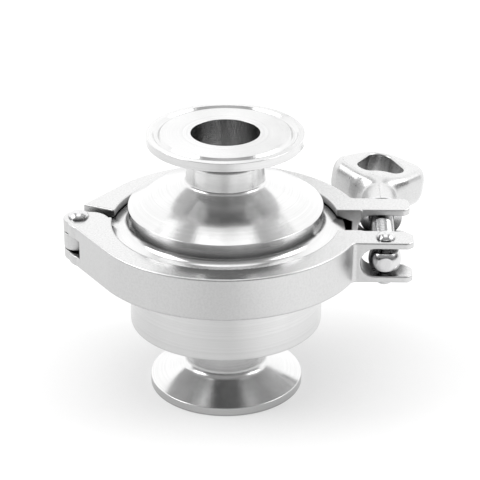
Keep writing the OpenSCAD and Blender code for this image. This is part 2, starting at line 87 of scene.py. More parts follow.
# Sizes of the clamp; x runs from the hinge to the ears, and y towards the rear half
CLAMP_R = 44.4
CLAMP_HALF = 7
LIP_R = 36.9
GROOVE_R = 41.65
GROOVE_HALF = 3.81
HINGE_X = -47.7
HINGE_HOLE_R = 2.05
LUG_R = 5
EAR_IN = 7.95
EAR_OUT = 17.25
EAR_X = 60
EAR_CUT = 1.6
BOLT_EAR_CUT = 2.6
SLOT_R = 4.7
SLOT_X = 47.9
TONGUE_HALF = 3.1
TONGUE_PLAY = 0.3
TONGUE_DROP = 0.5
TONGUE_DEPTH = 9
KNUCKLE = (HINGE_X + 3.5, 2.7)
KNUCKLE_R = 6.8
REAR_END = (HINGE_X + 2.4, 8.9)
REAR_END_TURN = math.radians(-22.7)

# Sizes of the rivets, bolt and washer
HINGE_RIVET = (2, 3.2)
BOLT_RIVET = (1.7, 2.9)
RIVET_RISE = 2
BOLT_X = 51.1
PIVOT_Y = -13.2
PIVOT_HOLE_R = 1.72
BOLT_LEN = 60
BALL_R = 5.3
BALL_HALF = 3.2
EYE_R = 1.76
NECK_R = 3.7
NECK_END = 6.5
THREAD_START = 6.2
THREAD_CREST = 3.98
THREAD_ROOT = 3.4
PITCH = 1.25
WASHER_T = 1.6
WASHER_R = 7.1
WASHER_BORE_R = 4.1

# Sizes of the wing nut, along y from its foot
NUT_Y = EAR_OUT + WASHER_T
NUT_TURN = math.radians(7)
NUT_LEN = 41.1
NUT_BORE_R = 4.06
NUT_BORE_PAST_WING = 3
BOSS_R = 6.2
BOSS_TAPER = 0.033
WING_Y = 21.6
WING_HALF = 6.5
WING_BAND_HALF = 3.2
LOBE_X, LOBE_R = 9, 7
CROWN_R = 13.5
WINDOW_X, WINDOW_R, WINDOW_TOP = 3.3, 4.6, 32.6

# Sizes of the plug's spring
COIL_D = 15.4
WIRE_D = 1.5
COIL_TURNS = 7


# Meshes

def new_object(name, vertices, faces, normals=None, corner_normals=None):
    """Makes a smooth mesh object from millimetres, with its exact normals."""
    mesh = bpy.data.meshes.new(name)
    mesh.from_pydata((np.asarray(vertices) * MM).tolist(), [], faces)
    mesh.polygons.foreach_set("use_smooth", [True] * len(mesh.polygons))
    mesh.update()
    if corner_normals is not None:
        mesh.normals_split_custom_set(corner_normals)
    if normals is not None:
        mesh.normals_split_custom_set_from_vertices(normals)
    piece = bpy.data.objects.new(name, mesh)
    bpy.context.scene.collection.objects.link(piece)
    return piece


def outline_samples(corners, step=math.radians(5)):
    """Rounds a closed outline of (radius, height, fillet) corners.

    Each sample is a point with the outward normals before and after it."""
    samples = []
    for i, (x, y, fillet) in enumerate(corners):
        here = np.array((x, y), float)
        u = here - np.array(corners[i - 1][:2])
        v = np.array(corners[(i + 1) % len(corners)][:2]) - here
        u /= np.linalg.norm(u)
        v /= np.linalg.norm(v)
        turn = math.atan2(u[0] * v[1] - u[1] * v[0], u @ v)
        normal_in = np.array((u[1], -u[0]))
        normal_out = np.array((v[1], -v[0]))
        if fillet == 0 or abs(turn) < 0.001:
            samples.append((here, normal_in, normal_out))
            continue
        side = math.copysign(1, turn)
        start = here - u * fillet * math.tan(abs(turn) / 2)
        centre = start - side * normal_in * fillet
        count = max(2, math.ceil(abs(turn) / step))
        for k in range(count + 1):
            a = turn * k / count
            normal = np.array((
                normal_in[0] * math.cos(a) - normal_in[1] * math.sin(a),
                normal_in[0] * math.sin(a) + normal_in[1] * math.cos(a),
            ))
            samples.append((centre + side * normal * fillet, normal, normal))
    return samples


def turned(name, corners, place=Matrix.Identity(4), steps=192):
    """Revolves a rounded outline about Z, with the normals of the true surface."""
    samples = outline_samples(corners)
    angles = np.linspace(0, 2 * math.pi, steps, endpoint=False)
    around = np.stack([np.cos(angles), np.sin(angles)], axis=1)
    vertices, rows = [], []
    for point, _, _ in samples:
        on_axis = point[0] < 1e-6
        rows.append([len(vertices) + (0 if on_axis else s) for s in range(steps)])
        for s in range(1 if on_axis else steps):
            vertices.append((point[0] * around[s][0], point[0] * around[s][1], point[1]))
    faces, corner_normals = [], []
    for i, (_, _, normal_a) in enumerate(samples):
        j = (i + 1) % len(samples)
        normal_b = samples[j][1]
        for s in range(steps):
            t = (s + 1) % steps
            ring = {}
            for row, turn, normal in ((i, s, normal_a), (i, t, normal_a),
                                      (j, t, normal_b), (j, s, normal_b)):
                ring.setdefault(rows[row][turn], (turn, normal))
            if len(ring) < 3:
                continue
            faces.append(list(ring))
            corner_normals += [
                (n[0] * around[a][0], n[0] * around[a][1], n[1]) for a, n in ring.values()]
    piece = new_object(name, vertices, faces, corner_normals=corner_normals)
    piece.data.transform(place)
    return piece


def at(x, y, z):
    return Matrix.Translation(Vector((x, y, z)) * MM)


# Distance fields: negative inside, in millimetres; r is the fillet where two of them meet

def round_and(a, b, r):
    return np.minimum(-r, np.maximum(a, b)) + np.hypot(np.maximum(a + r, 0), np.maximum(b + r, 0))


def round_or(a, b, r):
    return np.maximum(r, np.minimum(a, b)) - np.hypot(np.maximum(r - a, 0), np.maximum(r - b, 0))


def round_cut(a, b, r):
    return round_and(a, -b, r)


def box_2d(x, y, low, high):
    dx = np.maximum(low[0] - x, x - high[0])
    dy = np.maximum(low[1] - y, y - high[1])
    return np.minimum(np.maximum(dx, dy), 0) + np.hypot(np.maximum(dx, 0), np.maximum(dy, 0))


def disc(x, y, centre, r):
    return np.hypot(x - centre[0], y - centre[1]) - r


def tapered_capsule(x, y, end, r0, r1):
    """Distance to two discs, one at the origin and one at (end, 0), and what lies between."""
    along = x * math.copysign(1, end)
    length = abs(end)
    y = np.abs(y)
    sine = (r0 - r1) / length
    cosine = math.sqrt(1 - sine * sine)
    k = -sine * y + cosine * along
    near = np.hypot(along, y) - r0
    far = np.hypot(along - length, y) - r1
    side = cosine * y + sine * along - r0
    return np.where(k < 0, near, np.where(k > cosine * length, far, side))


def belt(circles, step=5):
    """Convex outline round several (x, y, r) circles, counter-clockwise."""
    points = sorted(
        (x + r * math.cos(math.radians(a)), y + r * math.sin(math.radians(a)))
        for x, y, r in circles for a in range(0, 360, step))
    halves = []
    for run in (points, points[::-1]):
        half = []
        for p in run:
            while len(half) > 1 and (
                (half[-1][0] - half[-2][0]) * (p[1] - half[-2][1])
                - (half[-1][1] - half[-2][1]) * (p[0] - half[-2][0])) <= 0:
                half.pop()
            half.append(p)
        halves += half[:-1]
    return halves


def polygon_distance(x, y, points):
    nearest = np.full(x.shape, 1e9)
    inside = np.zeros(x.shape, bool)
    for (ax, ay), (bx, by) in zip(points, points[1:] + points[:1]):
        ex, ey = bx - ax, by - ay
        t = np.clip(((x - ax) * ex + (y - ay) * ey) / (ex * ex + ey * ey), 0, 1)
        nearest = np.minimum(nearest, np.hypot(x - ax - t * ex, y - ay - t * ey))
        crosses = (ay > y) != (by > y)
        reach = ax + (y - ay) * ex / (ey if ey else 1e-9)
        inside ^= crosses & (x < reach)
    return np.where(inside, -nearest, nearest)


def field_gradient(field, p, h=0.02):
    slopes = []
    for axis in range(3):
        step = np.zeros(3)
        step[axis] = h
        ahead = field(*(p + step).T)
        behind = field(*(p - step).T)
        slopes.append((ahead - behind) / (2 * h))
    return np.stack(slopes, axis=1)


def cast(name, field, low, high, cell, place=Matrix.Identity(4)):
    """Meshes the zero surface of a distance field with one vertex in each crossed cell.

    A vertex starts at the middle of its cell's crossings, and four steps then bring it onto
    the surface."""
    low, high = np.array(low, float), np.array(high, float)
    shape = np.ceil((high - low) / cell).astype(int) + 1
    axes = [low[a] + cell * np.arange(shape[a]) for a in range(3)]
    grid = np.meshgrid(*axes, indexing="ij")
    value = field(*grid)
    cells = tuple(shape - 1)
    total = np.zeros(cells + (3,))
    count = np.zeros(cells)
    crossings = []
    for axis in range(3):
        head = [slice(None)] * 3
        tail = [slice(None)] * 3
        head[axis] = slice(0, -1)
        tail[axis] = slice(1, None)
        a, b = value[tuple(head)], value[tuple(tail)]
        index = np.argwhere((a < 0) != (b < 0))
        va, vb = a[tuple(index.T)], b[tuple(index.T)]
        point = index.astype(float)
        point[:, axis] += va / (va - vb)
        others = [o for o in range(3) if o != axis]
        keep = np.all((index[:, others] > 0) & (index[:, others] < shape[others] - 1), axis=1)
        crossings.append((axis, others, index[keep], va[keep] < 0))
        for da in (0, 1):
            for db in (0, 1):
                near = index.copy()
                near[:, others[0]] -= da
                near[:, others[1]] -= db
                fits = np.all((near >= 0) & (near < np.array(cells)), axis=1)
                np.add.at(total, tuple(near[fits].T), point[fits])
                np.add.at(count, tuple(near[fits].T), 1)
    used = count > 0
    number = np.full(cells, -1)
    number[used] = np.arange(used.sum())
    vertices = low + cell * total[used] / count[used][:, None]
    faces = []
    for axis, others, index, leaves in crossings:
        ring = []
        for da, db in ((1, 1), (0, 1), (0, 0), (1, 0)):
            near = index.copy()
            near[:, others[0]] -= da
            near[:, others[1]] -= db
            ring.append(number[tuple(near.T)])
        ring = np.stack(ring, axis=1)
        turn_back = leaves if axis == 1 else ~leaves
        ring[turn_back] = ring[turn_back][:, ::-1]
        faces.append(ring)
    for _ in range(4):
        slope = field_gradient(field, vertices)
        size = np.maximum((slope ** 2).sum(1), 0.2)
        step = slope * (field(*vertices.T) / size)[:, None]
        vertices -= np.clip(step, -cell / 2, cell / 2)
    slope = field_gradient(field, vertices)
    slope /= np.linalg.norm(slope, axis=1, keepdims=True) + 1e-12
    piece = new_object(name, vertices, np.concatenate(faces).tolist(), normals=slope)
    piece.data.transform(place)
    return piece


# Shader nodes

def add(tree, kind, inputs=None, output=0, **settings):
    """Adds a shader node and returns one of its outputs.

    An input is a plain value or the output of another node."""
    node = tree.nodes.new("ShaderNode" + kind)
    for name, value in settings.items():
        setattr(node, name, value)
    for socket, value in (inputs or {}).items():
        if isinstance(value, bpy.types.NodeSocket):
            tree.links.new(value, node.inputs[socket])
        else:
            node.inputs[socket].default_value = value
    return node.outputs[output]


def calculate(tree, operation, *values):
    return add(tree, "Math", dict(enumerate(values)), operation=operation)


def calculate_vector(tree, operation, *values, output="Vector"):
    return add(tree, "VectorMath", dict(enumerate(values)), output, operation=operation)


def separate(tree, vector):
    return add(tree, "SeparateXYZ", {0: vector}).node.outputs


def spread(tree, value, low, high, out_low, out_high):
    """Maps a value from low..high to out_low..out_high, and stays within them."""
    return add(tree, "MapRange", {"Value": value, "From Min": low, "From Max": high,
                                  "To Min": out_low, "To Max": out_high}, "Result")


def blend_colour(tree, factor, first, second, blend="MIX"):
    return add(tree, "Mix", {"Factor": factor, "A": first, "B": second}, "Result",
               data_type="RGBA", blend_type=blend)


def shade(colour, share):
    """A colour for a socket, as a share of a plain one."""
    return (*[c * share for c in colour], 1)


def coordinates(tree, stretch=(1, 1, 1)):
    """Object coordinates in millimetres, stretched along the axes."""
    place = add(tree, "TexCoord", output="Object")
    return add(tree, "Mapping", {"Vector": place, "Scale": [s / MM for s in stretch]}, "Vector")


def ring_coordinates(tree):
    """Radius and height about the vertical axis, for textures that run round it."""
    place = add(tree, "TexCoord", output="Object")
    flat = calculate_vector(tree, "MULTIPLY", place, (1, 1, 0))
    radius = calculate_vector(tree, "LENGTH", flat, output="Value")
    joined = add(tree, "CombineXYZ", {"X": radius, "Z": separate(tree, place)["Z"]})
    return calculate_vector(tree, "MULTIPLY", joined, (1 / MM, 1 / MM, 1 / MM))


def around_axis(tree):
    """The direction from the vertical axis, so that a texture runs along the turned surface."""
    place = add(tree, "TexCoord", output="Object")
    flat = calculate_vector(tree, "MULTIPLY", place, (1, 1, 0))
    unit = calculate_vector(tree, "NORMALIZE", flat)
    rise = calculate_vector(tree, "MULTIPLY", place, (0, 0, 6))
    return calculate_vector(tree, "ADD", unit, rise)


def noise(tree, vector, scale, detail=4, rough=0.55):
    return add(tree, "TexNoise", {"Vector": vector, "Scale": scale, "Detail": detail,
                                  "Roughness": rough}, "Fac")


def bump(tree, height, strength, distance, before=None):
    """Tilts the normal by a height; the distance is in millimetres."""
    inputs = {"Height": height, "Strength": strength, "Distance": distance * MM}
    if before is not None:
        inputs["Normal"] = before
    return add(tree, "Bump", inputs, "Normal")


def painted_crease_shade(tree, colour, reach, darkest):
    """Paints shade into a colour in narrow gaps and creases, darker where less of the sky is open.
    """
    open_sky = add(tree, "AmbientOcclusion", {"Distance": reach * MM}, "AO", samples=8)
    level = spread(tree, open_sky, 0.3, 0.85, darkest, 1)
    return blend_colour(tree, 1, colour, level, "MULTIPLY")


def rubbed_and_painted_edges(tree, width):
    """A mask of the edges, where handling has rubbed the metal smooth and where the painted edge
    line runs.
    """
    soft = add(tree, "Bevel", {"Radius": width * MM}, samples=4)
    sharp = add(tree, "NewGeometry", output="Normal")
    same = calculate_vector(tree, "DOT_PRODUCT", soft, sharp, output="Value")
    return spread(tree, same, 0.99, 0.93, 0, 1)


def upright(tree, none, full):
    """A mask of the faces by how far their normal stands up: 0 at one level and 1 at the other."""
    normal = add(tree, "NewGeometry", output="Normal")
    size = calculate(tree, "ABSOLUTE", separate(tree, normal)["Z"])
    return spread(tree, size, none, full, 0, 1)


# Materials

def shader(name, colour, metallic, roughness, **sockets):
    """A principled material; constant values sit on the shader's own sockets."""
    material = bpy.data.materials.new(name)
    material.use_nodes = True
    tree = material.node_tree
    bsdf = tree.nodes["Principled BSDF"]
    bsdf.inputs["Base Color"].default_value = (*colour, 1)
    bsdf.inputs["Metallic"].default_value = metallic
    bsdf.inputs["Roughness"].default_value = roughness
    for socket, value in sockets.items():
        bsdf.inputs[socket.replace("_", " ")].default_value = value
    return material, tree, bsdf.inputs


def polished_steel(name, colour, roughness, lines=0.5, streak=0.5):
    """Turned and polished stainless: turning lines, faint smears, soft reflections and painted
    shade in narrow gaps and creases.
    """
    material, tree, sockets = shader(name, colour, 1, roughness, Anisotropic=0.8,
                                     Anisotropic_Rotation=0.25)
    tangent = add(tree, "Tangent", output="Tangent", direction_type="RADIAL", axis="Z")
    tree.links.new(tangent, sockets["Tangent"])

    smears = noise(tree, coordinates(tree, (1, 1, 0.5)), 0.09, 5, 0.6)
    smeared = spread(tree, smears, 0.35, 0.7, roughness * 0.8, roughness * 1.35)
    tree.links.new(smeared, sockets["Roughness"])

    rings = noise(tree, ring_coordinates(tree), 3.2, 5, 0.7)
    light = spread(tree, rings, 0.35, 0.6, 0, 1)
    ringed = blend_colour(tree, light, shade(colour, 0.9), shade(colour, 1))
    # Painted shade darkens the colour in narrow gaps and creases.
    tree.links.new(painted_crease_shade(tree, ringed, 1.2, 0.5), sockets["Base Color"])

    streaks = noise(tree, around_axis(tree), 9, 6, 0.75)
    height = calculate(tree, "MULTIPLY", streaks, upright(tree, 0.95, 0.75))
    drawn = bump(tree, height, streak, 0.08)
    tree.links.new(bump(tree, rings, lines, 0.006, drawn), sockets["Normal"])
    return material


def satin_steel(name, colour, roughness, grain=0.5, ground=0.55, gap=5, edge=0.7):
    """Blasted casting: fine mottling, short scratches, rubbed edges and ground flat faces, with
    painted shade in creases and a painted line along the edges.

    ground is the share of the roughness on flat faces, gap the reach in millimetres of the painted
    shade in creases, and edge the share of the colour painted along the edges: below 1 a dark line
    of painted shade, above 1 a painted highlight."""
    material, tree, sockets = shader(name, colour, 1, roughness)
    mottle = noise(tree, coordinates(tree), 1.6, 6, 0.6)
    scratch = noise(tree, coordinates(tree, (0.12, 2.4, 3)), 2.2, 4, 0.65)
    edges = rubbed_and_painted_edges(tree, 0.35)

    speckle = spread(tree, mottle, 0.36, 0.6, 0, 1)
    blasted = blend_colour(tree, speckle, shade(colour, 0.9), shade(colour, 1))
    # Painted edge line: a dark line of painted shade where edge is below 1, a painted highlight
    # where it is above 1.
    edge_line_painted = blend_colour(tree, edges, blasted, shade(colour, edge))
    # Painted shade in narrow gaps and creases.
    tree.links.new(painted_crease_shade(tree, edge_line_painted, gap, 0.12), sockets["Base Color"])

    rough = spread(tree, mottle, 0.3, 0.7, roughness * 0.85, roughness * 1.2)
    for mask, share in ((edges, 0.3), (upright(tree, 0.985, 0.998), ground)):
        rough = add(tree, "Mix", {"Factor": mask, "A": rough, "B": roughness * share}, "Result")
    tree.links.new(rough, sockets["Roughness"])

    grained = bump(tree, mottle, grain, 0.03)
    tree.links.new(bump(tree, scratch, grain * 0.7, 0.02, grained), sockets["Normal"])
    return material


def rubber(name, colour):
    material, tree, sockets = shader(name, colour, 0, 0.55)
    grain = noise(tree, coordinates(tree), 3, 4)
    lighter = (*[c * 1.6 + 0.01 for c in colour], 1)
    tree.links.new(blend_colour(tree, grain, shade(colour, 1), lighter), sockets["Base Color"])
    tree.links.new(bump(tree, grain, 0.4, 0.03), sockets["Normal"])
    return material


def bush_plastic(name, colour):
    material, tree, sockets = shader(name, colour, 0, 0.4, Subsurface_Weight=0.08)
    grain = noise(tree, ring_coordinates(tree), 2, 3)
    mottled = blend_colour(tree, grain, shade(colour, 0.94), shade(colour, 1))
    tree.links.new(mottled, sockets["Base Color"])
    tree.links.new(bump(tree, grain, 0.25, 0.02), sockets["Normal"])
    return material


POLISHED = polished_steel("polished_steel", (0.6, 0.6, 0.6), 0.2)
TURNED = polished_steel("turned_steel", (0.57, 0.57, 0.57), 0.22, 0.8)
BRIGHT = polished_steel("bright_steel", (0.56, 0.56, 0.565), 0.16, 0.3)
WIRE = polished_steel("spring_steel", (0.52, 0.52, 0.52), 0.25)
# The clamp halves get a dark painted edge line (edge 0.7), the nut a painted highlight along its
# edges (edge 1.08).
SATIN = satin_steel("satin_steel", (0.55, 0.55, 0.55), 0.34)
CAST = satin_steel("cast_satin_steel", (0.54, 0.54, 0.54), 0.3, 0.2, gap=7, edge=1.08)
RUBBER = rubber("gasket_rubber", (0.02, 0.02, 0.021))
BUSH = bush_plastic("bush_plastic", (0.82, 0.82, 0.8))


def dress(piece, body, slot, material, *nodes):
    """Gives a piece its body and material, and hides the solids that it stands for; slot is not
    used.
    """
    piece.data.materials.clear()
    piece.data.materials.append(material)
    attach(piece, body)
    if nodes:
        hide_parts(*nodes)


# Turned pieces on the valve's axis

def flange_corners(edge_r, rim, wall_r, fillet, edge=0.2):
    """Edge and back of a clamp flange, up to the foot of the wall behind it."""
    return [(edge_r, 0, edge), (edge_r, rim, edge * 1.5),
            (wall_r, rim + (edge_r - wall_r) * CONE, fillet)]


def port_corners(length, edge=0.15, groove_fillet=0.7):
    """Clamp port with the gasket's groove in its face, and the neck behind it."""
    groove_in, groove_out = PORT_GROOVE
    return ([(BORE_R, 0, edge), (groove_in, 0, edge),
             (groove_in + PORT_GROOVE_SLANT, PORT_GROOVE_DEPTH, groove_fillet),
             (groove_out - PORT_GROOVE_SLANT, PORT_GROOVE_DEPTH, groove_fillet),
             (groove_out, 0, edge)]
            + flange_corners(PORT_R, PORT_RIM, TUBE_R, PORT_FILLET)
            + [(TUBE_R, length, 0), (BORE_R, length, 0)])


def body_corners():
    """Flange of a body half, from its inner wall to the foot of its outer wall."""
    return [(INNER_R, 0, 0.1)] + flange_corners(FLANGE_R, FLANGE_RIM, BODY_R, FLANGE_FILLET)


def make_valve_shell():
    outlet = turned("outlet_ferrule_shell", port_corners(CUP_BASE))
    dress(outlet, "valve_body", "polished_steel", POLISHED, "outlet_ferrule")
    corners = [(r, VALVE_H - z, f) for r, z, f in port_corners(VALVE_H - WELD_Z)][::-1]
    inlet = turned("inlet_ferrule_shell", corners)
    dress(inlet, "valve_body", "polished_steel", POLISHED, "inlet_ferrule")

    depth = OUTLET_FACE - CUP_BASE
    corners = body_corners() + [
        (BODY_R, depth, 0.35), (BORE_R, depth, 0), (BORE_R, depth - CUP_FLOOR, 0.2),
        (INNER_R, depth - CUP_FLOOR, 0.6)]
    cup = turned("outlet_cup", [(r, OUTLET_FACE - z, f) for r, z, f in corners][::-1])
    dress(cup, "valve_body", "polished_steel", POLISHED, "outlet_body")

    bend_r = BODY_R - BELL_RIM_W
    bend_z = SHOULDER_Z + BELL_RIM_W * math.tan(BELL_RIM_SLOPE)
    neck_z = bend_z + (bend_r - TUBE_R) * math.tan(BELL_SLOPE)
    neck_fillet = (WELD_Z - neck_z) / math.tan((math.pi / 2 - BELL_SLOPE) / 2) - 0.01
    seat_z = WELD_Z - SEAT_DROP
    corners = [(r, INLET_FACE + z, f) for r, z, f in body_corners()] + [
        (BODY_R, SHOULDER_Z, 0.25), (bend_r, bend_z, BELL_BEND_R), (TUBE_R, neck_z, neck_fillet),
        (TUBE_R, WELD_Z, 0), (BORE_R, WELD_Z, 0), (BORE_R, seat_z, 0.4),
        (INNER_R, seat_z - (INNER_R - BORE_R) * math.tan(SEAT_SLOPE), 2)]
    bell = turned("inlet_bell", corners)
    dress(bell, "valve_body", "polished_steel", POLISHED, "inlet_body")


# Clamp halves

def half_plan(x, y, side):
    """Outline of a clamp half seen from above; y points to the half's own side."""
    band = tapered_capsule(x, y, HINGE_X, CLAMP_R, LUG_R)
    split = np.where(x < 0, -y, EAR_IN - y)
    plan = np.maximum(band, split)
    ear = box_2d(x, y, (LIP_R - 2, EAR_IN), (EAR_X, EAR_OUT))
    inner_cut = BOLT_EAR_CUT if side < 0 else EAR_CUT
    for corner_y, way, cut in ((EAR_IN, -1, inner_cut), (EAR_OUT, 1, EAR_CUT)):
        corner = ((x - EAR_X) + way * (y - corner_y) + cut) / math.sqrt(2)
        ear = round_and(ear, corner, 0.5)
    ear = np.where(x > 20, ear, 50)
    return round_or(plan, ear, 1.2)


def half_field(side):
    """Field of a clamp half: side is -1 for the front one with the clevis, or 1 for the rear."""
    lean = math.atan2(math.sqrt(1 - ((CLAMP_R - LUG_R) / -HINGE_X) ** 2),
                      (CLAMP_R - LUG_R) / -HINGE_X)

    def field(px, py, pz):
        x, y, z = px, side * py, pz - JOINT_Z
        plan = half_plan(x, y, side)
        pin = disc(x, y, (HINGE_X, 0), LUG_R)
        if side < 0:
            plan = np.minimum(plan, pin)
            plan = np.minimum(plan, disc(x, y, KNUCKLE, KNUCKLE_R))
            solid = round_and(plan, np.abs(z) - CLAMP_HALF, 0.6)
        else:
            past_end = ((x - REAR_END[0]) * math.sin(REAR_END_TURN)
                        - (y - REAR_END[1]) * math.cos(REAR_END_TURN))
            full = round_and(plan, np.where(x < -20, past_end, -50), 0.4)
            solid = round_and(full, np.abs(z) - CLAMP_HALF, 0.6)
            arm = np.maximum(plan, np.maximum(x + 25, y - 16))
            tongue = np.minimum(arm, pin)
            flats = np.abs(z + TONGUE_DROP) - TONGUE_HALF + TONGUE_PLAY
            solid = np.minimum(solid, round_and(tongue, flats, 0.4))
        rho = np.hypot(x, y)
        solid = round_cut(solid, rho - LIP_R, 0.35)
        walls = (np.abs(z) - GROOVE_HALF - (FLANGE_R - rho) * CONE) * math.cos(FLANGE_SLOPE)
        solid = round_cut(solid, np.maximum(rho - GROOVE_R, walls), 0.3)
        if side < 0:
            along = (x - HINGE_X) * math.sin(lean) + y * math.cos(lean)
            pocket = np.maximum(along - TONGUE_DEPTH, np.abs(z + TONGUE_DROP) - TONGUE_HALF)
            solid = round_cut(solid, pocket, 0.35)
            solid = round_cut(solid, disc(x, y, (BOLT_X, -PIVOT_Y), PIVOT_HOLE_R), 0.1)
        slot = np.where(x < SLOT_X, disc(x, z, (SLOT_X, 0), SLOT_R), np.abs(z) - SLOT_R)
        slot = np.maximum(slot, np.maximum(EAR_IN - 1 - y, y - EAR_OUT - 1))
        solid = round_cut(solid, slot, 0.45)
        return round_cut(solid, disc(x, y, (HINGE_X, 0), HINGE_HOLE_R), 0.1)

    return field


def make_clamp():
    cell = 0.42
    for name, side, body, node in (("front_clamp_casting", -1, "valve_body", "clamp_front_half"),
                                   ("rear_clamp_casting", 1, "rear_clamp", "clamp_rear_half")):
        low = (HINGE_X - LUG_R - 1, min(side * 46, -side * 8), JOINT_Z - CLAMP_HALF - 1)
        high = (EAR_X + 1, max(side * 46, -side * 8), JOINT_Z + CLAMP_HALF + 1)
        half = cast(name, half_field(side), low, high, cell)
        dress(half, body, "satin_steel", SATIN, node)


# Rivets, bolt, washer and nut

def rivet_corners(shank_r, head_r, half):
    """A rivet with a domed head at each end, standing on Z about its middle."""
    top = [(head_r, half, 0.1), (head_r, half + 0.6, 0.25),
           (head_r * 0.68, half + RIVET_RISE, head_r), (0, half + RIVET_RISE, 0)]
    below = [(r, -z, f) for r, z, f in top][::-1]
    return below + [(shank_r, -half, 0), (shank_r, half, 0)] + top


def make_rivets():
    for name, x, y, sizes, node in (
            ("hinge_rivet", HINGE_X, 0, HINGE_RIVET, "hinge_pin"),
            ("bolt_rivet", BOLT_X, PIVOT_Y, BOLT_RIVET, "pivot_pin")):
        piece = turned(name, rivet_corners(*sizes, CLAMP_HALF), at(x, y, JOINT_Z), 64)
        dress(piece, "valve_body", "bright_steel", BRIGHT, node)


def thread(start, end, sides=48, rows_per_turn=8):
    """Vertices and faces of a screw thread about Y, with a flat start and a chamfered end."""
    chamfer, chamfer_len = 0.9, 1.2
    rows = int((end - start) / PITCH * rows_per_turn)
    vertices, faces = [(0, start, 0)], []
    for i in range(rows + 1):
        y = start + (end - start) * i / rows
        fade = min(1, (end - y) / chamfer_len)
        for s in range(sides):
            a = 2 * math.pi * s / sides
            phase = (y / PITCH + s / sides) % 1
            r = THREAD_ROOT + (THREAD_CREST - THREAD_ROOT) * (1 - abs(2 * phase - 1))
            r = min(r, THREAD_CREST - chamfer * (1 - fade))
            vertices.append((r * math.cos(a), y, r * math.sin(a)))
    for i in range(rows):
        for s in range(sides):
            t = (s + 1) % sides
            a, b = 1 + i * sides, 1 + (i + 1) * sides
            faces.append((a + s, b + s, b + t, a + t))
    vertices.append((0, end, 0))
    last = 1 + rows * sides
    for s in range(sides):
        t = (s + 1) % sides
        faces.append((0, 1 + s, 1 + t))
        faces.append((len(vertices) - 1, last + t, last + s))
    return vertices, faces


def join(name, pieces):
    """Joins mesh objects into the first one."""
    bpy.ops.object.select_all(action="DESELECT")
    for piece in pieces:
        piece.select_set(True)
    bpy.context.view_layer.objects.active = pieces[0]
    bpy.ops.object.join()
    pieces[0].name = name
    return pieces[0]


def ball_field(x, y, z):
    """The bolt's ball end with its flats, the neck behind it and the rivet's eye."""
    ball = np.sqrt(x * x + y * y + z * z) - BALL_R
    ball = round_and(ball, np.abs(z) - BALL_HALF, 0.3)
    ball = round_and(ball, -y - BALL_R + 0.4, 0.15)
    neck = round_and(np.hypot(x, z) - NECK_R, y - NECK_END, 0.2)
    ball = round_or(ball, np.maximum(neck, -y), 0.8)
    return round_cut(ball, np.hypot(x, y) - EYE_R, 0.1)


def make_bolt():
    place = at(BOLT_X, PIVOT_Y, JOINT_Z)
    ball = cast("bolt_ball", ball_field, (-6, -6, -6), (6, 8, 6), 0.3, place)
    rod = new_object("bolt_thread", *thread(THREAD_START, BOLT_LEN))
    rod.data.transform(place)
    bolt = join("threaded_eye_bolt", [ball, rod])
    dress(bolt, "bolt", "bright_steel", BRIGHT, "swing_bolt")


def make_washer():
    corners = [(WASHER_BORE_R, 0, 0.1), (WASHER_R, 0, 0.3), (WASHER_R, WASHER_T, 0.3),
               (WASHER_BORE_R, WASHER_T, 0.1)]
    lying = at(BOLT_X, EAR_OUT, JOINT_Z) @ Matrix.Rotation(-math.pi / 2, 4, "X")
    washer = turned("thrust_washer", corners, lying, 96)
    dress(washer, "washer", "bright_steel", BRIGHT, "nut_washer")


WING = belt([(-LOBE_X, WING_Y + LOBE_R, LOBE_R), (LOBE_X, WING_Y + LOBE_R, LOBE_R),
             (0, NUT_LEN - CROWN_R, CROWN_R)])
WINDOW = belt([(-WINDOW_X, WING_Y + WINDOW_R, WINDOW_R), (WINDOW_X, WING_Y + WINDOW_R, WINDOW_R),
               (0, WINDOW_TOP, WINDOW_R)])


def nut_field(x, y, z):
    """Tapered boss, thick wing with a flat band round its middle, and the window."""
    boss = np.hypot(x, z) - BOSS_R + BOSS_TAPER * y
    boss = round_and(boss, -y, 0.5)
    boss = np.maximum(boss, y - WING_Y)
    wing = polygon_distance(x, y, WING)
    band = round_and(wing, wing * 0.85 + (np.abs(z) - WING_BAND_HALF) * 0.4, 0.6)
    wing = round_and(band, np.abs(z) - WING_HALF, 1.5)
    solid = round_or(boss, wing, 3)
    solid = round_cut(solid, polygon_distance(x, y, WINDOW), 0.8)
    bore = np.maximum(np.hypot(x, z) - NUT_BORE_R, y - WING_Y - NUT_BORE_PAST_WING)
    return round_cut(solid, bore, 0.2)


def make_nut():
    place = at(BOLT_X, NUT_Y, JOINT_Z) @ Matrix.Rotation(NUT_TURN, 4, "Y")
    cell = 0.4
    nut = cast("cast_wing_nut", nut_field, (-17.5, -1, -8), (17.5, NUT_LEN + 1, 8), cell, place)
    dress(nut, "nut", "cast_satin_steel", CAST, "wing_nut")


# Pieces inside the valve

